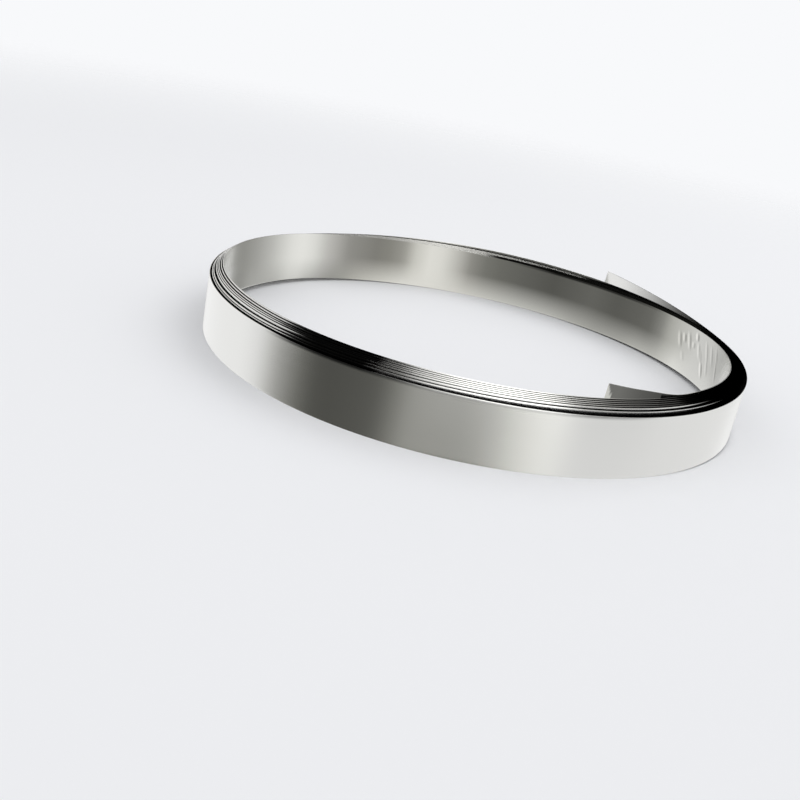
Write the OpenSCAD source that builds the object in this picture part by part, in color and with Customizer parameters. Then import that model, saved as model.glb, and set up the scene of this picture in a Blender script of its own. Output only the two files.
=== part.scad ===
/*
A narrow stainless steel strip, wound flat into a ring-shaped coil that lies on its side.
The winding is a four-centre spiral: every quarter turn is a true arc, and the centre steps
aside where the radius changes, so the strip runs on without a kink in a slightly oval ring.
The turns stand a little higher towards the bore, as a coil does that has slid open.
The last turn lies loose over its final stretch, from where it rises off the floor a little,
and both cut ends stand free.
*/

/* [Strip] */
// Width of the strip, which stands upright in the coil
strip_w = 30; // [16:1:60]
// Thickness of the strip
strip_t = 0.5; // [0.3:0.1:1]

/* [Winding] */
// Mean width across the bore
bore_d = 280.5; // [220:0.5:400]
// How much wider two opposite quarters of each turn are bent than the other two, as a radius
oval = 5.5; // [1:0.5:10]
// Number of turns
turns = 8; // [4:1:12]
// Clear gap between one turn and the next
turn_gap = 0.66; // [0.3:0.02:1.5]
// How much higher each turn stands than the turn around it
turn_rise = 0.55; // [0:0.05:1]
// Depth of the gap that shows between two turns, at the top and at the bottom
gap_depth = 5; // [1:0.5:6]
// Direction from the middle of the coil in which the innermost turn starts
start_angle = -39; // [-80:1:-20]

/* [Outer end] */
// Stretch of the last quarter turn that still lies tight, in degrees
tight_angle = 16; // [5:1:60]
// Stretch over which the last turn lies loose, in degrees
loose_angle = 124; // [100:1:150]
// How much wider the loose stretch is bowed than the turn it comes from, as a radius
loose_bow = 1.6; // [0.5:0.1:4]
// Direction in the last turn in which the loose stretch leaves the floor, in degrees
lift_angle = 353; // [300:1:359]
// Slope of the plane in which it rises, in degrees
lift_slope = 1.1; // [0:0.1:2]
// Radius to which the free outer end has sprung open
outer_end_r = 329; // [250:1:600]
// Length of the free outer end
outer_end_l = 149; // [60:1:200]

/* [Inner end] */
// Radius to which the free inner end is bent into the bore
inner_end_r = 64; // [35:1:90]
// Length of the free inner end
inner_end_l = 48; // [15:1:60]
// Slope at which the inner end climbs out of the coil, in degrees
inner_end_climb = 5.5; // [0:0.5:8]

/* [Hidden] */
$fn = 180;

pitch = strip_t + turn_gap;

// Quarter turns are numbered from the bore outwards, from nought
last_quarter = 4 * turns - 1;

// A free stretch grows out of the stretch before it: it starts this far aside, and this angle early
lap = strip_t / 5;
lap_angle = 2;

// Inner radius of a quarter turn about its own centre
function quarter_r(quarter) =
    bore_d / 2 + (quarter % 2 == 0 ? oval : -oval) / 2 + quarter * pitch / 4;

// The centre of a quarter turn, at a corner of a small rectangle round the coil's axis
function quarter_centre(quarter) = [
    (quarter % 4 < 2 ? -1 : 1) * (oval + pitch / 4) / 2,
    ((quarter + 1) % 4 < 2 ? -1 : 1) * (oval - pitch / 4) / 2
];

// Height of the lower edge of a quarter turn: the outermost turn rests on the floor
function quarter_z(quarter) = max(0, last_quarter - 3 - quarter) * turn_rise / 4;

// A point at a radius and an angle about a centre
function polar(centre, radius, angle) = centre + radius * [cos(angle), sin(angle)];

loose_from = 270 + tight_angle;
loose_to = loose_from + loose_angle;
loose_r = quarter_r(last_quarter) + loose_bow;
loose_centre = polar(quarter_centre(last_quarter), -loose_bow - lap, loose_from);

outer_end_sweep = outer_end_l / outer_end_r * 180 / PI;
outer_end_centre = polar(loose_centre, loose_r - outer_end_r + lap, loose_to);

inner_end_sweep = inner_end_l / inner_end_r * 180 / PI;
inner_end_centre = polar(quarter_centre(0), quarter_r(0) - inner_end_r + lap, 0);

// Points round the outside of the last turn and its free end, which reach furthest out
outline = [
    for (quarter = [last_quarter - 3:last_quarter - 1])
        for (a = [0:1:90])
            polar(quarter_centre(quarter), quarter_r(quarter) + strip_t, 90 * (quarter % 4) + a),
    for (a = [270:1:loose_from])
        polar(quarter_centre(last_quarter), quarter_r(last_quarter) + strip_t, a),
    for (a = [loose_from:1:loose_to]) polar(loose_centre, loose_r + strip_t, a),
    polar(outer_end_centre, outer_end_r + strip_t, loose_to + outer_end_sweep)
];

// The middle of the coil's box, seen from above
outline_x = [for (p = outline) p.x * cos(start_angle) - p.y * sin(start_angle)];
outline_y = [for (p = outline) p.x * sin(start_angle) + p.y * cos(start_angle)];
box_middle = [min(outline_x) + max(outline_x), min(outline_y) + max(outline_y)] / 2;

// How far the coil reaches from its axis, with room to spare
reach = bore_d / 2 + turns * pitch + outer_end_l;

// Turns its children about an upright axis through a centre, from one angle on
module turned(centre, from, sweep) {
    translate(centre)
        rotate_extrude(start = from, angle = sweep)
            children();
}

// The strip cut across: a thin upright rectangle
module strip_section(radius, height) {
    translate([radius, height])
        square([strip_t, strip_w]);
}

// The same, far taller than the strip is wide, for a stretch that is cut down along a slope
module tall_section(radius) {
    translate([radius, -strip_w])
        square([strip_t, 4 * strip_w]);
}

// What fills the gap between a quarter turn and the next one round it, out of sight below both rims
module gap_section(quarter) {
    low = quarter_z(quarter) + gap_depth;
    high = quarter_z(quarter + 4) + strip_w - gap_depth;
    translate([quarter_r(quarter) + strip_t, low])
        square([turn_gap, high - low]);
}

// Quarter turns that share a centre, cut across together
module wound_section(first, last) {
    for (quarter = [first:4:last])
        strip_section(quarter_r(quarter), quarter_z(quarter));
    for (quarter = [first:4:last - 4])
        gap_section(quarter);
}

// The winding: three sides of it, and the fourth one with and without the loose stretch
module winding() {
    for (quarter = [0:2])
        turned(quarter_centre(quarter), 90 * quarter, 90)
            wound_section(quarter, last_quarter - 3 + quarter);
    turned(quarter_centre(3), 270, tight_angle)
        wound_section(3, last_quarter);
    turned(quarter_centre(3), loose_from, 90 - tight_angle)
        wound_section(3, last_quarter - 4);
}

// The rest of the last turn, bowed away from the turns inside it, as far as it lies on the floor
module loose_stretch() {
    turned(loose_centre, loose_from - lap_angle, lift_angle - loose_from + 2 * lap_angle)
        strip_section(loose_r, 0);
}

// Where it rises off the floor, and the outer cut end, which has sprung open
module outer_end() {
    intersection() {
        union() {
            turned(loose_centre, lift_angle + lap_angle / 2, loose_to - lift_angle - lap_angle / 2)
                tall_section(loose_r);
            turned(outer_end_centre, loose_to - lap_angle, lap_angle + outer_end_sweep)
                tall_section(outer_end_r);
        }
        translate(loose_centre)
            rotate(lift_angle)
                rotate([lift_slope, 0, 0])
                    translate([-reach, -reach, 0])
                        cube([2 * reach, 2 * reach, strip_w]);
    }
}

// The inner cut end, bent into the bore, which climbs out of the coil
module inner_end() {
    intersection() {
        turned(inner_end_centre, -inner_end_sweep, inner_end_sweep + lap_angle)
            tall_section(inner_end_r);
        translate([0, quarter_centre(0).y, quarter_z(0)])
            rotate([-inner_end_climb, 0, 0])
                translate([-reach, -reach, 0])
                    cube([2 * reach, 2 * reach, strip_w]);
    }
}

module strip_coil() {
    color("silver")
        translate(-box_middle)
            rotate(start_angle) {
                winding();
                loose_stretch();
                outer_end();
                inner_end();
            }
}

strip_coil();
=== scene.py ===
"""Looks for a ring-shaped coil of narrow stainless steel strip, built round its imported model."""

import logging
import math
from dataclasses import dataclass
from enum import Enum

import bpy
import numpy as np
from bpy.types import Material, Mesh, Node, NodeSocket, NodeTree, Object, World
from mathutils import Matrix, Vector


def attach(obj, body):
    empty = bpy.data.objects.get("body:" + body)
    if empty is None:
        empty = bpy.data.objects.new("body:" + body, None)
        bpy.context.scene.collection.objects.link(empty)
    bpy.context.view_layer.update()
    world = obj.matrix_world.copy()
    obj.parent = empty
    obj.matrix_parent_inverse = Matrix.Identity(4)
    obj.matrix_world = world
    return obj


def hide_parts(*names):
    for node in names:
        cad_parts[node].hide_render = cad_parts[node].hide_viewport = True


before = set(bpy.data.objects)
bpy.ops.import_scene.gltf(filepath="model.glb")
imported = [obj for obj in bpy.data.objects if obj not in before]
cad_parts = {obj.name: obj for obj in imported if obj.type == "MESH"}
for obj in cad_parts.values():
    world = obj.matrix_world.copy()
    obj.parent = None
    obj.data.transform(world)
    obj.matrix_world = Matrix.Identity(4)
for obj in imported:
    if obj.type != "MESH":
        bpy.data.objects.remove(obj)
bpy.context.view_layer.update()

LOG = logging.getLogger("strip_coil")

MM = 0.001
PICTURE_PX = 800
SENSOR_MM = 36.0

# Corners less than this far apart, in mm, count as in line
HAIR = 0.001

# Nearly all of a noise texture lies between these values
NOISE_SPAN = (0.3, 0.7)

# What the materials read from the mesh: its coordinates unrolled, and the painted shade between the
# turns
UNROLLED = "strip"
PAINTED_SHADE_ATTRIBUTE = "painted_gap_shade"

# Tables of directions round the coil in degrees, each with a measure or a shade
Knots = tuple[tuple[float, float], ...]
Stops = tuple[tuple[float, str], ...]


def linear(shade: str) -> tuple[float, float, float, float]:
    """Turns an sRGB hex colour into the linear colour that the shaders take.

    Args:
        shade: The colour as "#rrggbb".

    Returns:
        Red, green and blue from 0 to 1, and an alpha of 1.
    """
    channels = [int(shade[i:i + 2], 16) / 255 for i in (1, 3, 5)]
    curve = [c / 12.92 if c <= 0.04045 else ((c + 0.055) / 1.055) ** 2.4 for c in channels]
    return (curve[0], curve[1], curve[2], 1.0)


def smooth(value: np.ndarray) -> np.ndarray:
    """Eases values between 0 and 1, so that they leave both without a kink; clips the rest."""
    share = np.clip(value, 0, 1)
    return share * share * (3 - 2 * share)


def above_nought(value: np.ndarray, blunt: float) -> np.ndarray:
    """Follows its argument above nought and stays there below it, with a rounded knee between.

    Args:
        value: What to follow.
        blunt: How wide the knee is.

    Returns:
        The values, none below nought.
    """
    return blunt * np.logaddexp(0, value / blunt)


def add_node(
    tree: NodeTree, kind: str, inputs: dict | None = None, **settings: object
) -> Node:
    """Adds a node, with its settings, its values and the links that reach it.

    Args:
        tree: The node tree that takes the node.
        kind: The node's type, without ShaderNode in front.
        inputs: Values, output sockets, or nodes whose first output in use is meant, by the name
            or number of the input.
        **settings: The node's own properties.

    Returns:
        The new node.
    """
    node = tree.nodes.new(f"ShaderNode{kind}")
    for name, value in settings.items():
        setattr(node, name, value)
    for name, value in (inputs or {}).items():
        if isinstance(value, Node):
            value = next(socket for socket in value.outputs if socket.enabled)
        if isinstance(value, NodeSocket):
            tree.links.new(value, node.inputs[name])
        else:
            node.inputs[name].default_value = value
    return node


def empty_tree(owner: Material | World) -> NodeTree:
    """Gives a new material or world a node tree with no nodes in it yet."""
    owner.use_nodes = True
    owner.node_tree.nodes.clear()
    return owner.node_tree


def shades_around(tree: NodeTree, turn: NodeSocket, stops: Stops) -> Node:
    """Adds shades that follow each other once round the horizon.

    Args:
        tree: The node tree that takes them.
        turn: The direction as a share of a full turn, from -180 degrees on.
        stops: Directions in degrees, each with its shade, in rising order.

    Returns:
        The node that gives the shade.
    """
    node = add_node(tree, "ValToRGB", {"Fac": turn})
    elements = node.color_ramp.elements
    while len(elements) < len(stops):
        elements.new(1.0)
    for element, (angle, shade) in zip(elements, stops):
        element.position = (angle + 180) / 360
        element.color = linear(shade)
    return node


def add_object(name: str, data: bpy.types.ID) -> Object:
    """Puts a new object in the scene, with its name and its mesh, lamp or camera."""
    made = bpy.data.objects.new(name, data)
    bpy.context.scene.collection.objects.link(made)
    return made


class Surface(Enum):
    """How a stretch of the strip's surface was made, as its material's place on the piece."""

    ROLLED = 0
    SLIT = 1


@dataclass(frozen=True)
class Fade:
    """A share that rises from 0 to 1 over a stretch."""

    start: float
    length: float

    def at(self, place: np.ndarray) -> np.ndarray:
        """Gives the share at a place."""
        return smooth((place - self.start) / self.length)


@dataclass(frozen=True)
class Streak:
    """A soft streak on the unrolled strip.

    Its middle is given along the strip and round its section, and lengths are in mm. It is turned
    from the strip's length, in radians, and its strength goes from 0 to 1.
    """

    along: float
    across: float
    half_length: float
    half_width: float
    turn: float
    strength: float


@dataclass(frozen=True)
class ToolMarks:
    """Fine marks that a tool leaves in the metal, which vary its sheen.

    Attributes:
        length_mm: How long a mark is, along the strip.
        width_mm: How wide it is, across the strip.
        detail: How many layers of finer marks it has.
        fineness: How strong those are, from 0 to 1.
        depth_mm: How deep the marks are.
        relief: How much of that bends the light, from 0 to 1.
        roughness: The roughness of the smoothest spots and of the roughest ones.
    """

    length_mm: float
    width_mm: float
    detail: float
    fineness: float
    depth_mm: float
    relief: float
    roughness: tuple[float, float]

    def cut(self, tree: NodeTree, where: Node) -> tuple[Node, Node]:
        """Cuts the marks into a material.

        Args:
            tree: The material's node tree.
            where: The node that gives the place on the unrolled strip, in metres.

        Returns:
            The nodes that give the roughness and the normal.
        """
        scale = (1 / (self.length_mm * MM), 1 / (self.width_mm * MM), 1.0)
        place = add_node(tree, "Mapping", {"Vector": where, "Scale": scale})
        marks = add_node(tree, "TexNoise", {
            "Vector": place, "Scale": 1.0, "Detail": self.detail, "Roughness": self.fineness,
        }, noise_dimensions="2D")
        sheen = add_node(tree, "MapRange", {
            "Value": marks, "From Min": NOISE_SPAN[0], "From Max": NOISE_SPAN[1],
            "To Min": self.roughness[0], "To Max": self.roughness[1],
        })
        relief = add_node(tree, "Bump", {
            "Height": marks, "Strength": self.relief, "Distance": self.depth_mm * MM,
        })
        return sheen, relief


@dataclass(frozen=True)
class PaintedShade:
    """Painted shade on the metal: a near-black colour that stands in for the shade deep between
    turns.

    It is mixed into the base colour and into the colour seen at a glancing angle alike, so that the
    metal under it looks black.
    """

    # The near-black of the painted shade, and the plain specular colour where none is painted
    colour: str = "#1a1a19"
    clear: str = "#ffffff"

    def paint_shade(
        self, tree: NodeTree, painted_shade: Node | NodeSocket, metal: Node | tuple
    ) -> dict[str, Node]:
        """Paints the shade on a metal.

        Args:
            tree: The material's node tree.
            painted_shade: What gives how strong the painted shade is, from 0 to 1.
            metal: The clean metal's linear colour, or the node that gives it.

        Returns:
            The shader's colours seen face on and at a glance, by the names of its inputs.
        """
        clean = {"Base Color": metal, "Specular Tint": linear(self.clear)}
        return {
            name: add_node(
                tree, "Mix", {"Factor": painted_shade, "A": colour, "B": linear(self.colour)},
                data_type="RGBA",
            )
            for name, colour in clean.items()
        }


@dataclass(frozen=True)
class BrightRolledStainless:
    """Stainless steel strip, cold rolled between polished rolls and bright annealed.

    The rolls leave a fine grain along the strip, so what the face mirrors is drawn out across it,
    in soft upright bands, and stays fairly sharp along it.
    """

    colour: str = "#dbdbd9"
    # A paler colour painted along the coil breaks as their highlights
    painted_highlight_colour: str = "#fdfcfa"
    # Painted shade between the turns and beside the coil breaks
    shade_paint: PaintedShade = PaintedShade()
    grain: ToolMarks = ToolMarks(
        length_mm=60.0, width_mm=0.35, detail=3.0, fineness=0.6,
        depth_mm=0.0006, relief=0.15, roughness=(0.185, 0.215),
    )
    across_grain: float = 0.5
    quarter_turn: float = 0.25
    streak_edge: float = 0.6
    break_depth_mm: float = 0.04
    break_relief: float = 0.5

    def streaked(self, tree: NodeTree, where: Node, streaks: list[Streak]) -> Node:
        """Lays soft streaks over each other.

        Args:
            tree: The material's node tree.
            where: The node that gives the place on the unrolled strip, in metres.
            streaks: The streaks.

        Returns:
            The node that gives their strength at that place.
        """
        total: Node | float = 0.0
        for streak in streaks:
            local = add_node(tree, "Mapping", {
                "Vector": where,
                "Location": (streak.along * MM, streak.across * MM, 0.0),
                "Rotation": (0.0, 0.0, streak.turn),
                "Scale": (streak.half_length * MM, streak.half_width * MM, 1.0),
            }, vector_type="TEXTURE")
            ball = add_node(
                tree, "TexGradient", {"Vector": local}, gradient_type="SPHERICAL"
            ).outputs["Fac"]
            core = add_node(tree, "MapRange", {
                "Value": ball, "From Max": self.streak_edge, "To Max": streak.strength,
            }, interpolation_type="SMOOTHSTEP")
            total = add_node(tree, "Math", {0: core, 1: total}, operation="MAXIMUM")
        return total

    def material(self, shiny: list[Streak], painted_shade_lines: list[Streak]) -> Material:
        """Builds the material of the rolled faces.

        Args:
            shiny: The painted highlights along the coil breaks.
            painted_shade_lines: The painted shade lines beside them.

        Returns:
            The material.
        """
        made = bpy.data.materials.new("bright_rolled_stainless")
        tree = empty_tree(made)
        where = add_node(tree, "UVMap", uv_map=UNROLLED)
        roughness, normal = self.grain.cut(tree, where)
        # The coil breaks: a painted highlight in the colour, and a real kink in the relief
        kink_and_highlight = self.streaked(tree, where, shiny)
        tint = add_node(tree, "Mix", {
            "Factor": kink_and_highlight, "A": linear(self.colour), "B": linear(self.painted_highlight_colour),
        }, data_type="RGBA")
        # The painted shade between the turns, read from the mesh
        painted_shade = add_node(tree, "Attribute", attribute_name=PAINTED_SHADE_ATTRIBUTE).outputs["Fac"]
        # Painted shade lines beside the coil breaks, joined with the painted shade between the
        # turns
        painted_line_shade = self.streaked(tree, where, painted_shade_lines)
        all_painted_shade = add_node(tree, "Math", {0: painted_shade, 1: painted_line_shade}, operation="MAXIMUM")
        kinked = add_node(tree, "Bump", {
            "Height": kink_and_highlight, "Strength": self.break_relief,
            "Distance": self.break_depth_mm * MM, "Normal": normal,
        })
        along = add_node(tree, "Tangent", direction_type="UV_MAP", uv_map=UNROLLED)
        shader = add_node(tree, "BsdfPrincipled", {
            "Metallic": 1.0, "Roughness": roughness, "Normal": kinked, "Tangent": along,
            "Anisotropic": self.across_grain, "Anisotropic Rotation": self.quarter_turn,
            **self.shade_paint.paint_shade(tree, all_painted_shade, tint),
        })
        add_node(tree, "OutputMaterial", {"Surface": shader})
        return made


@dataclass(frozen=True)
class SlitEdgeStainless:
    """Stainless steel as the rotary knives of a slitting line leave it.

    The knife burnishes the edge, so it mirrors sharply in thin bright lines, which short tears
    across it break up a little.
    """

    colour: str = "#d2d1cd"
    # Painted shade on the edges that lie down between the turns
    shade_paint: PaintedShade = PaintedShade()
    tears: ToolMarks = ToolMarks(
        length_mm=0.25, width_mm=1.0, detail=2.0, fineness=0.5,
        depth_mm=0.004, relief=0.5, roughness=(0.05, 0.1),
    )

    def material(self) -> Material:
        """Builds the material of the slit edges and the cut ends."""
        made = bpy.data.materials.new("slit_edge_stainless")
        tree = empty_tree(made)
        where = add_node(tree, "UVMap", uv_map=UNROLLED)
        roughness, normal = self.tears.cut(tree, where)
        # The painted shade between the turns, read from the mesh
        painted_shade = add_node(tree, "Attribute", attribute_name=PAINTED_SHADE_ATTRIBUTE).outputs["Fac"]
        shader = add_node(tree, "BsdfPrincipled", {
            "Metallic": 1.0, "Roughness": roughness, "Normal": normal,
            **self.shade_paint.paint_shade(tree, painted_shade, linear(self.colour)),
        })
        add_node(tree, "OutputMaterial", {"Surface": shader})
        return made


@dataclass(frozen=True)
class SectionPoint:
    """A corner of the strip's section.

    Attributes:
        out: How far it lies outside the middle of the thickness, in mm.
        height: How far it lies above the lower edge, in mm.
        girth: How far it lies along the section's outline, in mm.
        surface: What the stretch from it to the next corner is.
    """

    out: float
    height: float
    girth: float
    surface: Surface


@dataclass(frozen=True)
class StripStock:
    """The flat stock, cut across: a thin upright rectangle, its slit edges rolled over a little.

    Lengths are in mm.

    Attributes:
        edge_radius: Radius of the small rounds at the edges.
        corner_steps: Number of facets in each of them.
        rollover: How far the knives drew the face in at the edge.
        rollover_height: How far from the edge that begins.
        rows: Distances from the edge at which the face has a row of corners.
    """

    width: float = 30.0
    thickness: float = 0.5
    edge_radius: float = 0.06
    corner_steps: int = 2
    rollover: float = 0.06
    rollover_height: float = 1.2
    rows: tuple[float, ...] = (0.25, 0.5, 0.8, 1.2, 1.7, 2.4, 3.6, 6.0, 11.0)

    def half_at(self, to_edge: float) -> float:
        """Gives half the thickness, in mm, at a distance in mm from the nearer edge."""
        drawn = max(0.0, 1 - to_edge / self.rollover_height)
        return self.thickness / 2 - self.rollover * drawn * drawn

    def section(self) -> list[SectionPoint]:
        """Lists the section's corners, counter-clockwise from the outer face's lower end."""
        width, radius = self.width, self.edge_radius
        lower = [radius, *self.rows]
        face = [*lower, width / 2, *(width - d for d in reversed(lower))]
        halves = [self.half_at(min(h, width - h)) for h in face]
        places = [(half, h, Surface.ROLLED) for half, h in zip(halves[:-1], face)]
        places += self.edge(width - radius, 1)
        inner = [(-half, h, Surface.ROLLED) for half, h in zip(halves[1:], face[1:])]
        places += reversed(inner)
        places += self.edge(radius, -1)
        points, girth = [], 0.0
        for i, (out, height, surface) in enumerate(places):
            points.append(SectionPoint(out, height, girth, surface))
            following = places[(i + 1) % len(places)]
            girth += math.hypot(following[0] - out, following[1] - height)
        return points

    def edge(self, centre: float, side: int) -> list[tuple[float, float, Surface]]:
        """Lists the corners of one slit edge.

        Args:
            centre: Height of the centres that the two small rounds have.
            side: 1 for the upper edge and -1 for the lower one.

        Returns:
            Each corner's place out of the middle, its height and its surface.
        """
        radius = self.edge_radius
        flat = self.half_at(radius) - radius
        turns = [math.radians(90 * i / self.corner_steps) for i in range(self.corner_steps + 1)]
        rounds = [(side, turn) for turn in turns] + [(-side, turn) for turn in turns[:0:-1]]
        return [
            (face * (flat + radius * math.cos(turn)), centre + side * radius * math.sin(turn),
             Surface.SLIT)
            for face, turn in rounds
        ]


@dataclass(frozen=True)
class Around:
    """A measure that varies round the coil, seen from above.

    Attributes:
        mean: Its mean, in mm.
        waves: Waves that repeat once, twice and so on round the coil, each as its size in mm and
            the direction of its crest in degrees.
    """

    mean: float
    waves: Knots

    def at(self, angle: np.ndarray) -> np.ndarray:
        """Gives the measure in mm at angles in degrees."""
        total = np.full(np.shape(angle), float(self.mean))
        for count, (size, direction) in enumerate(self.waves, 1):
            total = total + size * np.cos(np.radians(count * (angle - direction)))
        return total


@dataclass(frozen=True)
class Sharing:
    """How unevenly the turns share out the thickness of the wound band, or its slope.

    Attributes:
        steps: One row for each step from a turn to the next one out, from the bore outwards: its
            weight at the coil's back, left and right.
        places: Where back, left and right lie in a turn, as shares of it.
        released: The turns over which the turn below the released last one moves out.
    """

    steps: tuple[tuple[float, float, float], ...]
    places: tuple[float, float, float] = (0.35, 0.68, 0.94)
    released: Fade = Fade(8.099, 0.3)

    def weight(self, layer: np.ndarray) -> np.ndarray:
        """Gives the weight of the step that ends at a layer, counted in turns from the bore."""
        layers = range(1, len(self.steps) + 1)
        knots = np.array([n + place for n in layers for place in self.places])
        values = np.array(self.steps).ravel()
        index = np.clip(np.searchsorted(knots, layer) - 1, 0, len(knots) - 2)
        share = smooth((layer - knots[index]) / (knots[index + 1] - knots[index]))
        plain = values[index] + share * (values[index + 1] - values[index])
        return plain * (1 - self.released.at(layer))

    def outside(self, layer: np.ndarray) -> np.ndarray:
        """Gives the weight of all steps that lie outside a layer."""
        end = len(self.steps) + 2
        return sum(self.weight(layer + n) * (layer + n < end) for n in range(1, end))

    def depth(self, layer: np.ndarray) -> np.ndarray:
        """Gives how deep a layer lies in the band: 0 at the outermost turn and 1 at the bore."""
        part = layer % 1
        taper = float(self.outside(np.array(0.0)) / self.outside(np.array(1.0)))
        return taper ** (0.5 - part) * self.outside(layer) / self.outside(part)


@dataclass(frozen=True)
class FreeEnd:
    """A cut end that stands free of the winding. Lengths are in mm, and its bend in degrees.

    Attributes:
        radius: The radius that it bends to.
        ease: The stretch over which it takes up that radius.
        climb: How much higher its tip lies than its root.
        crease_slope: How fast the crease near the cut runs away from the cut, going down.
        crease_bend: How far the metal beyond the crease is bent outwards.
        crease_blunt: How blunt the crease is.
        stride: The steps in which it is walked.
        coarse: How many steps one facet takes.
        fine: The number of steps at the tip that each have their own.
    """

    length: float
    radius: float
    ease: float
    climb: float
    crease_slope: float
    crease_bend: float
    crease_blunt: float = 0.35
    stride: float = 0.5
    coarse: int = 4
    fine: int = 36

    def walk(self, start: np.ndarray, heading: float, root_radius: float, side: int) -> np.ndarray:
        """Walks along the end from its root to its tip.

        Args:
            start: Where the winding ends, seen from above, in mm.
            heading: The direction in which the end leaves it, in radians.
            root_radius: The winding's radius there, in mm.
            side: 1 where the end bends to the left as it goes, and -1 to the right.

        Returns:
            A row for each point past the root: x, y, the heading and the distance walked.
        """
        count = round(self.length / self.stride)
        step = self.length / count
        place, rows = np.array(start, float), []
        for i in range(count):
            share = float(smooth(np.array((i + 0.5) * step / self.ease)))
            bend = (1 - share) / root_radius + share / self.radius
            middle = heading + side * bend * step / 2
            place = place + step * np.array([math.cos(middle), math.sin(middle)])
            heading += side * bend * step
            rows.append((place[0], place[1], heading, (i + 1) * step))
        coarse = range(self.coarse - 1, count - self.fine, self.coarse)
        return np.array([rows[i] for i in (*coarse, *range(count - self.fine, count))])

    def climbed(self, walked: np.ndarray) -> np.ndarray:
        """Gives how much the end has climbed, in mm, at distances from its root in mm."""
        return self.climb * walked / self.length * smooth(walked / (2 * self.ease))

    def past_crease(self, to_cut: np.ndarray, to_rim: float) -> np.ndarray:
        """Gives how far beyond the crease metal lies, from its distances to cut and rim, in mm."""
        return self.crease_slope * to_rim - to_cut

    def creased(self, to_cut: np.ndarray, to_rim: float) -> np.ndarray:
        """Gives how far the crease moves metal outwards, from the same distances, in mm."""
        past = above_nought(self.past_crease(to_cut, to_rim), self.crease_blunt)
        return past * math.tan(math.radians(self.crease_bend))


@dataclass(frozen=True)
class CoilBreak:
    """A small cross-wise kink in the innermost turn, with a painted highlight along it.

    Attributes:
        angle: Its direction from the coil's axis, in degrees.
        low, high: Heights of its two ends, in mm.
        lean: How far round its upper end lies from its lower one, in mm.
        shine: How strong its painted highlight is, from 0 to 1.
    """

    angle: float
    low: float
    high: float
    lean: float
    shine: float


@dataclass(frozen=True)
class Winding:
    """The way the strip runs: eight turns, the last of them loose, and a free end at each side.

    Lengths are in mm and directions in degrees. The lifts are how high the lower edges of the
    outermost and the innermost turn would stand if there were no floor to settle on.
    """

    axis: tuple[float, float] = (-0.2, -5.8)
    start: float = -38.2
    release: float = -2.5
    turns: int = 8
    outmost: Around = Around(150.0, ((0.0, 0.0), (1.74, -69.5), (1.1, -26.9)))
    inmost: Around = Around(140.67, ((1.17, 129.9), (0.89, 7.6), (0.57, -11.6)))
    outmost_lift: Around = Around(-0.12, ((3.54, 44.1),))
    inmost_lift: Around = Around(3.11, ((2.45, -109.0), (0.98, 8.9)))
    settling: float = 0.3
    gaps: Sharing = Sharing((
        (1.0, 1.0, 1.3), (1.0, 1.1, 1.3), (1.0, 0.75, 1.3), (1.0, 0.75, 1.3),
        (1.0, 1.3, 1.3), (1.0, 0.75, 1.5), (2.7, 1.5, 3.1),
    ))
    climbs: Sharing = Sharing((
        (0.4, 1.0, 0.35), (0.4, 0.85, 0.35), (0.4, 0.5, 0.35), (0.4, 0.65, 0.35),
        (0.4, 1.5, 0.35), (0.4, 0.95, 1.1), (2.5, 0.6, 1.5),
    ))
    inner_end: FreeEnd = FreeEnd(55.0, 66.0, 18.3, 4.1, 0.45, 16.0)
    outer_end: FreeEnd = FreeEnd(182.2, 331.3, 64.7, 0.93, 0.45, -14.0)
    step: float = 1.8

    @property
    def end(self) -> float:
        """The unwrapped angle at which the winding ends, in degrees."""
        return 360 * self.turns + self.release

    def turned(self) -> np.ndarray:
        """Lists the unwrapped angles along the winding, in degrees."""
        count = round((self.end - self.start) / self.step)
        return np.linspace(self.start, self.end, count + 1)

    def layer(self, turned: np.ndarray) -> np.ndarray:
        """Gives how many turns lie between the start and unwrapped angles in degrees."""
        return (turned - self.start) / 360

    def radius_at(self, turned: np.ndarray, stock: StripStock) -> np.ndarray:
        """Gives the radius of the strip's middle, in mm, at unwrapped angles in degrees."""
        band = self.outmost.at(turned) - self.inmost.at(turned) - stock.thickness
        outer = self.outmost.at(turned) - stock.thickness / 2
        return outer - band * self.gaps.depth(self.layer(turned))

    def lift_at(self, turned: np.ndarray) -> np.ndarray:
        """Gives the height of the strip's lower edge, in mm, at unwrapped angles in degrees."""
        outer = above_nought(self.outmost_lift.at(turned), self.settling)
        inner = above_nought(self.inmost_lift.at(turned), self.settling)
        return outer + (inner - outer) * self.climbs.depth(self.layer(turned))


@dataclass
class StripPath:
    """The strip's whole length, point by point from its inner tip to its outer one, in mm.

    Attributes:
        place: Where the middle of its lower edge lies.
        outward: The way out of its outer face.
        upward: The way up it, at right angles to its run.
        run: The distance from the inner tip along the strip.
        turned: The unwrapped direction from the winding's axis, in degrees.
        reach: The distance from that axis.
    """

    place: np.ndarray
    outward: np.ndarray
    upward: np.ndarray
    run: np.ndarray
    turned: np.ndarray
    reach: np.ndarray


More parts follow.
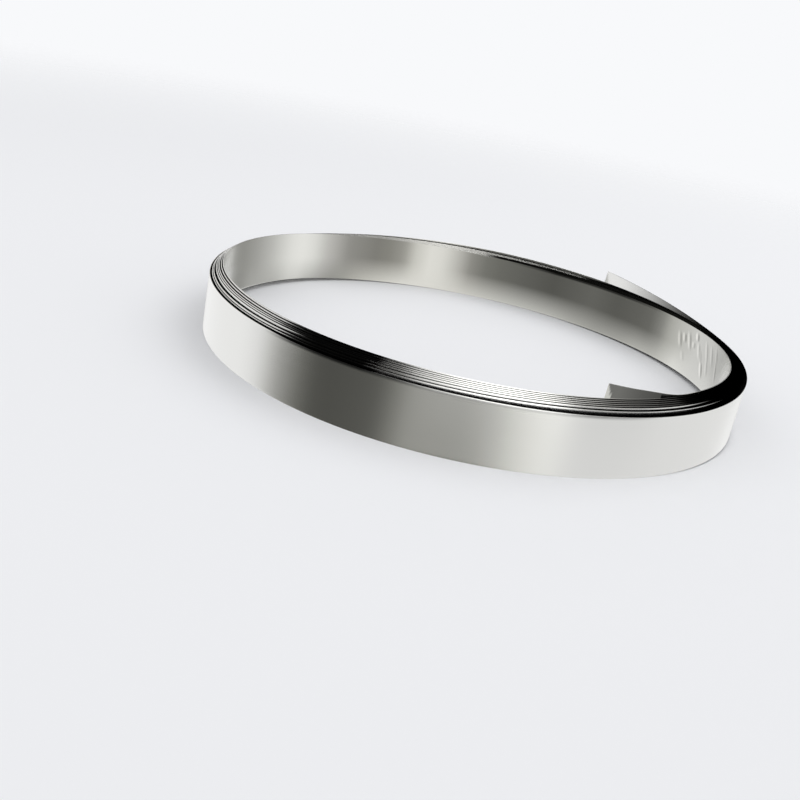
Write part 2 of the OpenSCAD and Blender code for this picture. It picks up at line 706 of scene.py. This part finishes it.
@dataclass(frozen=True)
class GapShadePainting:
    """Where painted shade darkens the strip: mostly between turns that lie close together, where
    little light reaches, and also along stretches of the rims and on the free inner end.

    Its strength goes from 0 to 1, a layer counts the turns from the bore, and lengths are in mm.

    Attributes:
        line: How far above the next turn's rim it reaches, round the coil.
        short: How much sooner it ends round the back of the outer turns, in degrees.
        outer_turns: Where those begin.
        edge_depth: The height over which it fades on a slit edge.
        edge_start: The turns over which it sets in there.
        bare_step: The step down that counts for an edge with no turn beside it.
        last_layer: Where no turn lies outside any more.
        last_line: How far above the rim it reaches there at least.
        depth: The height over which it fades on a face.
        spread: What each mm of gap adds to that.
        widest: The widest gap that does.
        gap_fade: The gaps over which it fades out.
        tail_fade: The same inside the free outer end.
        outer_rim: Its strength at the coil's outer rim, round the coil.
        inner_rim: The same at the rim of the bore.
        tip_thinning: How much weaker it is where the free inner end stands clear.
        tip_clear: The gap from which it does.
        tip_shade_fade: The distances beyond its crease over which it fades out.
    """

    most: float = 0.965
    line: Knots = (
        (-180, -0.1), (-138, -0.1), (-127, 0.5), (-122, 1.2), (-117, 2.6), (-107, 2.6),
        (-103.5, 0.1), (-96, -0.7), (-74, -0.7), (-68, 0.2), (-62, 0.55), (-54, 0.7), (-46, 0.8),
        (-24, 2.4), (76, 2.4), (92, -0.1), (180, -0.1),
    )
    short: float = 26.0
    outer_turns: Fade = Fade(3.5, 1.5)
    edge_depth: float = 0.8
    bare_step: float = 0.4
    edge_start: Fade = Fade(0.05, 0.2)
    last_layer: float = 7.1
    last_line: float = 0.1
    depth: float = 0.25
    spread: float = 0.35
    widest: float = 14.0
    gap_fade: Fade = Fade(3.2, 3.0)
    tail_fade: Fade = Fade(0.0, 31.0)
    outer_rim: Knots = (
        (-128, 0), (-122, 0.85), (-106.5, 0.85), (-104.5, 0.5), (-66, 0.4), (-56, 0),
    )
    outer_rim_fade: Fade = Fade(0.5, 1.2)
    inner_rim: Knots = (
        (34, 0), (46, 0.8), (70, 0.9), (84, 0),
    )
    inner_rim_fade: Fade = Fade(0.8, 0.7)
    tip_most: float = 0.98
    tip_thinning: float = 0.22
    tip_clear: float = 6.5
    tip_shade_fade: Fade = Fade(-0.3, 0.6)

    def thickness(
        self, corner: SectionPoint, path: StripPath, stock: StripStock, winding: Winding
    ) -> np.ndarray:
        """Works out how strong the painted shade is along one row of the strip's corners.

        Args:
            corner: The row's corner of the section.
            path: The strip's path.
            stock: The strip's section.
            winding: The way the strip runs.

        Returns:
            Its strength at each point of the path.
        """
        layer = winding.layer(path.turned)
        around = (path.turned + 180) % 360 - 180
        short = self.short * self.outer_turns.at(layer) * (around > 0)
        line = np.interp(around + short, *zip(*self.line))
        on_edge = abs(corner.out) < stock.half_at(stock.edge_radius) - HAIR
        outward = on_edge or corner.out > 0
        beside = path.turned + (360 if outward else -360)
        reach = np.interp(beside, path.turned, path.reach, left=np.nan, right=np.nan)
        foot = np.interp(beside, path.turned, path.place[:, 2])
        if on_edge:
            step = np.maximum(path.place[:, 2] - foot, 0)
            step = np.where(np.isnan(reach), self.bare_step, step)
            return self.most * smooth((line - step) / self.edge_depth) * self.edge_start.at(layer)
        line = np.where(layer + outward > self.last_layer, np.maximum(line, self.last_line), line)
        gap = np.abs(reach - path.reach) - stock.thickness
        depth = self.depth + self.spread * np.clip(gap, 0, self.widest)
        height = path.place[:, 2] + corner.height
        below_rim = smooth((foot + stock.width + line - height) / depth)
        above_foot = smooth((height + line - foot) / depth)
        painted_shade = below_rim * above_foot * (1 - self.gap_fade.at(gap))
        to_rim = stock.width - corner.height
        if outward:
            past = winding.inner_end.past_crease(path.run, to_rim)
            thinned = self.tip_thinning * np.clip(gap / self.tip_clear, 0, 1)
            on_tip = (self.tip_most - thinned) * (1 - self.tip_shade_fade.at(past))
            painted_shade = np.where(layer < 0, on_tip, painted_shade)
            rim = np.interp(around, *zip(*self.outer_rim)) * (1 - self.outer_rim_fade.at(to_rim))
            painted_shade = np.where(layer > self.last_layer, rim, painted_shade)
        else:
            painted_shade = np.where(path.turned > winding.end, 1 - self.tail_fade.at(gap), painted_shade)
            rim = np.interp(around, *zip(*self.inner_rim)) * (1 - self.inner_rim_fade.at(to_rim))
            painted_shade = np.where((layer > 0) & (layer < 1), rim, painted_shade)
        return self.most * np.nan_to_num(painted_shade)


@dataclass
class WoundStrip:
    """The strip itself: one continuous spiral with true gaps, slit edges and two free cut ends."""

    stock: StripStock = StripStock()
    winding: Winding = Winding()
    # Where painted shade darkens the strip, mostly between the turns
    shade_paint: GapShadePainting = GapShadePainting()
    face_finish: BrightRolledStainless = BrightRolledStainless()
    edge_finish: SlitEdgeStainless = SlitEdgeStainless()
    coil_breaks: tuple[CoilBreak, ...] = (
        CoilBreak(26.2, 13.5, 25.0, 5.2, 0.8), CoilBreak(24.5, 18.0, 25.0, 3.2, 0.9),
        CoilBreak(22.2, 15.0, 27.5, 6.4, 0.8), CoilBreak(20.0, 18.0, 22.5, 2.0, 0.6),
        CoilBreak(19.2, 23.0, 28.8, 3.2, 1.0), CoilBreak(17.0, 13.0, 24.5, 6.6, 0.6),
        CoilBreak(13.7, 4.5, 15.5, 6.9, 0.9), CoilBreak(23.6, 7.0, 14.0, 3.8, 0.3),
        CoilBreak(15.6, 12.0, 21.0, 5.0, 0.4), CoilBreak(13.0, 14.0, 28.5, 9.8, 0.55),
        CoilBreak(11.2, 8.0, 19.0, 7.0, 0.45), CoilBreak(9.9, 15.0, 28.0, 9.6, 0.5),
        CoilBreak(7.0, 18.5, 28.5, 8.6, 0.45), CoilBreak(5.2, 9.0, 22.0, 8.4, 0.5),
    )
    break_half_width: float = 1.5
    break_aside: float = -2.4
    # How strong the painted shade lines beside the coil breaks are
    break_painted_shade: float = 0.35

    def path(self) -> StripPath:
        """Lays out the strip from its inner tip to its outer one."""
        winding = self.winding
        turned = winding.turned()
        radius = winding.radius_at(turned, self.stock)
        spoke = np.stack([np.cos(np.radians(turned)), np.sin(np.radians(turned))], -1)
        wound = spoke * radius[:, None]
        ahead = np.gradient(wound, turned, axis=0)
        heading = np.arctan2(ahead[:, 1], ahead[:, 0])
        inner = winding.inner_end.walk(wound[0], heading[0] + math.pi, radius[0], -1)[::-1]
        outer = winding.outer_end.walk(wound[-1], heading[-1], radius[-1], 1)
        plan = np.concatenate([inner[:, :2], wound, outer[:, :2]])
        angle = np.concatenate([inner[:, 2] - math.pi, heading, outer[:, 2]])
        lift = winding.lift_at(turned)
        height = np.concatenate([
            lift[0] + winding.inner_end.climbed(inner[:, 3]),
            lift,
            lift[-1] + winding.outer_end.climbed(outer[:, 3]),
        ])
        place = np.column_stack([plan + np.array(winding.axis), height])
        stride = np.linalg.norm(np.diff(place, axis=0), axis=1)
        run = np.concatenate([[0.0], np.cumsum(stride)])
        slope = np.gradient(height, run)
        level = np.sqrt(1 - slope**2)
        outward = np.column_stack([np.sin(angle), -np.cos(angle), np.zeros(len(angle))])
        upward = np.column_stack([-slope * np.cos(angle), -slope * np.sin(angle), level])
        around = np.degrees(np.arctan2(plan[:, 1], plan[:, 0]))
        unwound = np.concatenate(
            [around[: len(inner)], turned, around[-len(outer):] + 360 * winding.turns]
        )
        return StripPath(place, outward, upward, run, unwound, np.hypot(plan[:, 0], plan[:, 1]))

    def streaks(self, path: StripPath, aside: float, strength: float) -> list[Streak]:
        """Places a painted highlight or shade streak for each coil break on the unrolled inner
        face.

        Args:
            path: The strip's path.
            aside: How far it lies beside the break, in mm along the strip.
            strength: How strong it is for the brightest break, from 0 to 1.

        Returns:
            The streaks.
        """
        section = self.stock.section()
        rim = next(c for c in section if c.out < 0 and c.surface is Surface.ROLLED)
        return [
            Streak(
                along=float(np.interp(kink.angle, path.turned, path.run)) + aside,
                across=rim.girth + rim.height - (kink.low + kink.high) / 2,
                half_length=math.hypot(kink.high - kink.low, kink.lean) / 2,
                half_width=self.break_half_width,
                turn=math.atan2(kink.low - kink.high, kink.lean),
                strength=strength * kink.shine,
            )
            for kink in self.coil_breaks
        ]

    def mesh(self, path: StripPath) -> Mesh:
        """Builds the strip's mesh along its path, with its surfaces, coordinates and painted shade.
        """
        section = self.stock.section()
        rings, painted_shades = [], []
        for corner in section:
            to_rim = self.stock.width - corner.height
            out = corner.out + self.winding.inner_end.creased(path.run, to_rim)
            out = out + self.winding.outer_end.creased(path.run[-1] - path.run, to_rim)
            rings.append(path.place + path.outward * out[:, None] + path.upward * corner.height)
            painted_shades.append(self.shade_paint.thickness(corner, path, self.stock, self.winding))
        corners = np.stack(rings, 1)
        count, around = corners.shape[:2]
        mesh = bpy.data.meshes.new("wound_strip")
        index = np.arange(count * around).reshape(count, around)
        following = np.roll(index, -1, axis=1)
        quads = np.stack([index[:-1], index[1:], following[1:], following[:-1]], -1).reshape(-1, 4)
        faces = quads.tolist() + [index[0].tolist(), index[-1][::-1].tolist()]
        mesh.from_pydata((corners.reshape(-1, 3) * MM).tolist(), [], faces)
        kinds = [corner.surface.value for corner in section] * (count - 1)
        cut_ends = len(faces) - len(quads)
        mesh.polygons.foreach_set("material_index", kinds + [Surface.SLIT.value] * cut_ends)
        mesh.polygons.foreach_set("use_smooth", [True] * len(quads) + [False] * cut_ends)
        self.unwrap(mesh, path, section)
        # The painted shade between the turns, stored on the mesh for the materials
        painted_shade = mesh.attributes.new(PAINTED_SHADE_ATTRIBUTE, "FLOAT", "POINT")
        painted_shade.data.foreach_set("value", np.stack(painted_shades, 1).ravel().astype(np.float32))
        mesh.update()
        mesh.validate()
        return mesh

    def unwrap(self, mesh: Mesh, path: StripPath, section: list[SectionPoint]) -> None:
        """Gives the mesh coordinates in metres: along the strip, and round its section.

        Args:
            mesh: The strip's mesh.
            path: The strip's path.
            section: The corners of its section.
        """
        first, last = section[0], section[-1]
        total = last.girth + math.hypot(first.out - last.out, first.height - last.height)
        girth = np.array([corner.girth for corner in section])
        above, run = np.append(girth[1:], total), path.run
        along = np.stack([run[:-1], run[1:], run[1:], run[:-1]], -1)[:, None]
        across = np.stack([girth, girth, above, above], -1)
        spread = [(along, across), (run[0], girth), (run[-1], girth[::-1])]
        flat = [np.stack(np.broadcast_arrays(*pair), -1).ravel() for pair in spread]
        layer = mesh.uv_layers.new(name=UNROLLED)
        layer.data.foreach_set("uv", np.concatenate(flat) * MM)

    def build(self) -> None:
        """Builds the piece, dresses it and sets it on its body in place of the plain solid."""
        path = self.path()
        piece = add_object("wound_strip", self.mesh(path))
        # Painted highlights along the coil breaks, and painted shade lines beside them
        shiny = self.streaks(path, 0.0, 1.0)
        painted_shade_lines = self.streaks(path, self.break_aside, self.break_painted_shade)
        piece.data.materials.append(self.face_finish.material(shiny, painted_shade_lines))
        piece.data.materials.append(self.edge_finish.material())
        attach(piece, "root")
        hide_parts("strip_coil")
        LOG.info("%s: %d faces", piece.name, len(piece.data.polygons))


@dataclass(frozen=True)
class Surround:
    """What stands round the coil in the studio: pale walls with dark flags between them.

    Only shiny surfaces show it. The lower ring is what the upright faces mirror, the middle one
    what their rolled-over rims mirror, and the upper one what the slit edges mirror. The glare is a
    lamp at the front and one at the back that outshine the walls beside them. Each stop is a
    direction in degrees and a shade, and each rise says between which heights of a ray, as sines,
    its ring sets in.
    """

    backdrop: str = "#f8f9fb"
    light: str = "#ffffff"
    light_level: float = 0.8
    shine_level: float = 1.35
    glare_level: float = 1.8
    glare_rise: tuple[float, float] = (-0.24, -0.16)
    middle_rise: tuple[float, float] = (-0.24, -0.2)
    upper_rise: tuple[float, float] = (0.1, 0.18)
    glare: Stops = (
        (-102, "#000000"), (-82, "#dddddd"), (-72, "#ffffff"), (-52, "#ffffff"), (-38, "#000000"),
        (82.5, "#000000"), (84.5, "#ffffff"), (88.5, "#ffffff"), (91.5, "#000000"),
    )
    lower: Stops = (
        (-180, "#dadada"), (-176, "#c8c8c6"), (-169, "#9a9a97"), (-162, "#7d7d79"),
        (-156, "#64645f"), (-149, "#4d4d49"), (-142, "#4c4c48"), (-128, "#53534f"),
        (-121, "#585854"), (-114, "#7a7a75"), (-108, "#92928d"), (-100, "#8c8c87"),
        (-87, "#868681"), (-80, "#8e8e89"), (-73, "#a4a49f"), (-66, "#c2c2bd"), (-59, "#d4d4d0"),
        (-52, "#e1e1de"), (-40, "#dadada"), (-10, "#dddddd"), (40, "#dfdfdf"), (55, "#e5e5e5"),
        (68, "#dadada"), (78, "#cfcfcf"), (88, "#bfbfbf"), (104, "#bdbdbd"), (113, "#d7d7d7"),
        (119, "#e4e4e4"), (130, "#e8e8e8"), (168, "#ebebeb"), (177, "#e1e1e1"), (180, "#dadada"),
    )
    middle: Stops = (
        (-180, "#e8e8e8"), (-164, "#e8e8e8"), (-152, "#303030"), (-112, "#303030"),
        (-102, "#fcfcfc"), (-54, "#fcfcfc"), (-44, "#989898"), (-16, "#989898"), (-6, "#e8e8e8"),
        (30, "#e8e8e8"), (50, "#202020"), (110, "#202020"), (122, "#e8e8e8"), (180, "#e8e8e8"),
    )
    upper: Stops = (
        (-180, "#b8b8b8"), (-150, "#545454"), (-120, "#545454"), (-102, "#fcfcfc"),
        (-60, "#fcfcfc"), (40, "#c6c6c6"), (75.5, "#909090"), (78, "#606060"), (82, "#484848"),
        (84, "#fcfcfc"), (93, "#fcfcfc"), (94.5, "#0c0c0c"), (100.5, "#0c0c0c"),
        (102.5, "#e0e0e0"), (125, "#e0e0e0"), (180, "#b8b8b8"),
    )

    def build(self) -> None:
        """Builds the world: soft plain light, a pale backdrop, and the surround for reflections."""
        world = bpy.data.worlds.new("studio")
        bpy.context.scene.world = world
        tree = empty_tree(world)
        direction = add_node(tree, "TexCoord").outputs["Generated"]
        turn = add_node(
            tree, "TexGradient", {"Vector": direction}, gradient_type="RADIAL"
        ).outputs["Fac"]
        height = add_node(tree, "SeparateXYZ", {"Vector": direction}).outputs["Z"]
        shade = shades_around(tree, turn, self.lower)
        for stops, rise in ((self.middle, self.middle_rise), (self.upper, self.upper_rise)):
            above = add_node(tree, "MapRange", {
                "Value": height, "From Min": rise[0], "From Max": rise[1],
            }, interpolation_type="SMOOTHSTEP")
            shade = add_node(tree, "Mix", {
                "Factor": above, "A": shade, "B": shades_around(tree, turn, stops),
            }, data_type="RGBA")
        over_floor = add_node(tree, "MapRange", {
            "Value": height, "From Min": self.glare_rise[0], "From Max": self.glare_rise[1],
            "To Max": self.glare_level,
        })
        glaring = add_node(tree, "Math", {
            0: over_floor, 1: shades_around(tree, turn, self.glare), 2: self.shine_level,
        }, operation="MULTIPLY_ADD")
        mirrored, light, pale = (
            add_node(tree, "Background", {"Color": colour, "Strength": strength})
            for colour, strength in (
                (shade, glaring),
                (linear(self.light), self.light_level),
                (linear(self.backdrop), 1.0),
            )
        )
        rays = add_node(tree, "LightPath").outputs
        shiny = add_node(tree, "MixShader", {0: rays["Is Glossy Ray"], 1: light, 2: mirrored})
        seen = add_node(tree, "Math", {
            0: rays["Is Camera Ray"], 1: rays["Is Transmission Ray"],
        }, operation="MAXIMUM")
        shown = add_node(tree, "MixShader", {0: seen, 1: shiny, 2: pale})
        add_node(tree, "OutputWorld", {"Surface": shown})


@dataclass(frozen=True)
class BoreScreen:
    """A curved paper screen that stands in the bore, close to the innermost turn.

    Only shiny surfaces show it, and only that turn is near enough to mirror it. Its long part at
    the back gives the inner face its soft upright bands of light. Its short plain part in front
    gives the free inner end its even grey. Each stop is a direction in degrees and a shade.

    Attributes:
        foot, top: Heights of its rims, in mm.
        blend: Heights between which the lower shades give way to the upper ones, in mm.
        fade: Distances from the axis, to the back and front, between which it begins, in mm.
        arcs: Its parts: each one's radius in mm, and the directions between which it stands.
        facet: How much of a turn each of its flat panels takes, in degrees.
    """

    foot: float = -60.0
    top: float = 40.0
    blend: tuple[float, float] = (-3.0, 15.0)
    fade: tuple[float, float] = (2.0, 22.0)
    arcs: tuple[tuple[float, float, float], ...] = ((138.3, -78.0, -36.0), (136.8, 0.0, 180.0))
    facet: float = 1.5
    glow: float = 1.35
    lower: Stops = (
        (-30, "#c8c8c4"), (5, "#b7b7b5"), (12, "#d7d7d5"), (21, "#d5d5d3"), (28, "#e8e8e5"),
        (32, "#d2d2ce"), (36, "#c3c3bf"), (43, "#bebeba"), (47, "#b2b2ae"), (56, "#acaca8"),
        (63, "#b6b6b2"), (70, "#c3c3bf"), (80, "#c8c8c4"), (94, "#d4d3ce"), (102, "#dad9d4"),
        (113, "#e2e1dc"), (117, "#d8d7d1"), (121, "#cdccc6"), (126, "#b9b8b2"), (130, "#a0a09b"),
        (133, "#92928e"), (137, "#9c9c99"), (142, "#b4b4b1"), (145, "#c8c8c5"), (148, "#c6c6c3"),
        (152, "#afafac"), (163, "#a4a4a1"), (168, "#787875"),
    )
    upper: Stops = (
        (-30, "#c8c8c4"), (5, "#8f8f8d"), (15, "#c4c4c2"), (21, "#cbcbc9"), (28, "#bdbdb9"),
        (32, "#ababa6"), (35.5, "#82827e"), (39, "#676763"), (43, "#5f5f5b"), (51, "#565652"),
        (58.5, "#61615d"), (70.5, "#52524e"), (78, "#5c5c58"), (86, "#686863"), (90, "#73736e"),
        (94, "#8b8a85"), (98, "#bbbab5"), (102, "#dad9d4"), (105.5, "#dfded9"),
        (109.5, "#cac9c3"), (113, "#989791"), (117, "#85847e"), (121, "#7e7d78"),
        (129, "#8f8e8a"), (136, "#bebdba"), (140, "#dcdcd9"), (144, "#e6e6e3"),
        (147.5, "#e0e0dd"), (151, "#d0d0cd"), (155, "#b9b9b6"), (160, "#a2a29f"),
        (167, "#888884"),
    )

    def build(self, axis: tuple[float, float]) -> None:
        """Sets up the screen round the winding's axis, whose place is given in mm."""
        mesh = bpy.data.meshes.new("bore_screen")
        corners, panels = [], []
        for radius, first, last in self.arcs:
            count = round((last - first) / self.facet)
            for i in range(count + 1):
                turn = math.radians(first + (last - first) * i / count)
                spot = (radius * math.cos(turn) * MM, radius * math.sin(turn) * MM)
                corners += [(*spot, self.foot * MM), (*spot, self.top * MM)]
                if i:
                    end = len(corners)
                    panels.append((end - 4, end - 2, end - 1, end - 3))
        mesh.from_pydata(corners, [], panels)
        screen = add_object("bore_screen", mesh)
        screen.location = Vector((*axis, 0)) * MM
        screen.data.materials.append(self.paper())
        for rays in ("camera", "diffuse", "shadow", "transmission"):
            setattr(screen, f"visible_{rays}", False)

    def paper(self) -> Material:
        """Builds the lit paper of the screen, which fades out towards both its ends."""
        made = bpy.data.materials.new("lit_paper")
        tree = empty_tree(made)
        place = add_node(tree, "TexCoord").outputs["Object"]
        turn = add_node(
            tree, "TexGradient", {"Vector": place}, gradient_type="RADIAL"
        ).outputs["Fac"]
        away = add_node(tree, "SeparateXYZ", {"Vector": place}).outputs
        risen = add_node(tree, "MapRange", {
            "Value": away["Z"], "From Min": self.blend[0] * MM, "From Max": self.blend[1] * MM,
        })
        lower, upper = (shades_around(tree, turn, stops) for stops in (self.lower, self.upper))
        shade = add_node(
            tree, "Mix", {"Factor": risen, "A": lower, "B": upper}, data_type="RGBA"
        )
        off_axis = add_node(tree, "Math", {0: away["Y"]}, operation="ABSOLUTE")
        cover = add_node(tree, "MapRange", {
            "Value": off_axis, "From Min": self.fade[0] * MM, "From Max": self.fade[1] * MM,
        }, interpolation_type="SMOOTHSTEP")
        clear = add_node(tree, "BsdfTransparent")
        paper = add_node(tree, "Emission", {"Color": shade, "Strength": self.glow})
        mixed = add_node(tree, "MixShader", {0: cover, 1: clear, 2: paper})
        add_node(tree, "OutputMaterial", {"Surface": mixed})
        return made


@dataclass(frozen=True)
class PaintedFloor:
    """A matt painted floor, which takes the coil's shadow and fades out further from it, in m."""

    colour: str = "#f1f2f5"
    half_size: float = 3.0
    plain_to: float = 0.5
    faded_at: float = 1.6

    def build(self) -> None:
        """Builds the floor."""
        mesh = bpy.data.meshes.new("floor")
        size = self.half_size
        corners = [(-size, -size, 0), (size, -size, 0), (size, size, 0), (-size, size, 0)]
        mesh.from_pydata(corners, [], [(0, 1, 2, 3)])
        floor = add_object("floor", mesh)
        floor.data.materials.append(self.paint())
        floor.visible_glossy = False

    def paint(self) -> Material:
        """Builds the floor's paint."""
        made = bpy.data.materials.new("matt_floor_paint")
        tree = empty_tree(made)
        place = add_node(tree, "TexCoord").outputs["Object"]
        away = add_node(tree, "VectorMath", {0: place}, operation="LENGTH")
        fade = add_node(tree, "MapRange", {
            "Value": away, "From Min": self.plain_to, "From Max": self.faded_at,
        }, interpolation_type="SMOOTHSTEP")
        matt = add_node(tree, "BsdfDiffuse", {"Color": linear(self.colour)})
        clear = add_node(tree, "BsdfTransparent")
        mixed = add_node(tree, "MixShader", {0: fade, 1: matt, 2: clear})
        add_node(tree, "OutputMaterial", {"Surface": mixed})
        return made


@dataclass(frozen=True)
class SoftLamp:
    """A broad soft lamp that looks at the coil, in metres and watts."""

    name: str
    place: tuple[float, float, float]
    size: float
    power: float

    def build(self) -> None:
        """Hangs the lamp."""
        data = bpy.data.lights.new(self.name, "AREA")
        data.shape = "DISK"
        data.size = self.size
        data.energy = self.power
        lamp = add_object(self.name, data)
        lamp.location = self.place
        lamp.rotation_euler = (-Vector(self.place)).to_track_quat("-Z", "Y").to_euler()
        lamp.visible_glossy = False


@dataclass(frozen=True)
class PhotoCamera:
    """The camera, where the photograph was taken from.

    It looks down on the coil's axis at the floor, and is then panned, tilted and rolled a little.
    Its distance is in mm, its angles in degrees and its clip in metres.
    """

    focal_px: float = 1003.3
    distance: float = 577.8
    elevation: float = 17.55
    pan: float = -3.12
    tilt: float = -3.23
    roll: float = 12.35
    clip: tuple[float, float] = (0.01, 50.0)

    def build(self, axis: tuple[float, float]) -> None:
        """Aims the camera at the winding's axis, whose place is given in mm."""
        data = bpy.data.cameras.new("photo_camera")
        data.sensor_width = SENSOR_MM
        data.lens = self.focal_px * SENSOR_MM / PICTURE_PX
        data.clip_start, data.clip_end = self.clip
        camera = add_object("photo_camera", data)
        turns = ((90 - self.elevation, "X"), (-self.pan, "Y"), (self.tilt, "X"), (self.roll, "Z"))
        aim = Matrix.Identity(4)
        for angle, axle in turns:
            aim = aim @ Matrix.Rotation(math.radians(angle), 4, axle)
        camera.matrix_world = aim
        rise = math.radians(self.elevation)
        seat = Vector((0, -math.cos(rise), math.sin(rise)))
        camera.location = (seat * self.distance + Vector((*axis, 0))) * MM
        bpy.context.scene.camera = camera
        LOG.info("camera: %.1f mm lens", data.lens)


@dataclass(frozen=True)
class Studio:
    """The pale floor, the soft light, the surround and the screen in the bore."""

    surround: Surround = Surround()
    floor: PaintedFloor = PaintedFloor()
    screen: BoreScreen = BoreScreen()
    lamps: tuple[SoftLamp, ...] = (
        SoftLamp("key_lamp", (0.7, 0.5, 1.3), 1.4, 4.2),
        SoftLamp("fill_lamp", (-1.0, -0.6, 1.0), 1.4, 2.2),
    )

    def build(self, axis: tuple[float, float]) -> None:
        """Sets up the studio round the winding's axis, whose place is given in mm."""
        bpy.context.scene.view_settings.view_transform = "Standard"
        self.surround.build()
        self.floor.build()
        self.screen.build(axis)
        for lamp in self.lamps:
            lamp.build()
        LOG.info("studio: floor, screen and %d lamps", len(self.lamps))


def main() -> None:
    """Builds the camera, the strip and the studio, in that order."""
    logging.basicConfig(level=logging.INFO)
    strip = WoundStrip()
    PhotoCamera().build(strip.winding.axis)
    strip.build()
    Studio().build(strip.winding.axis)


if __name__ == "__main__":
    main()
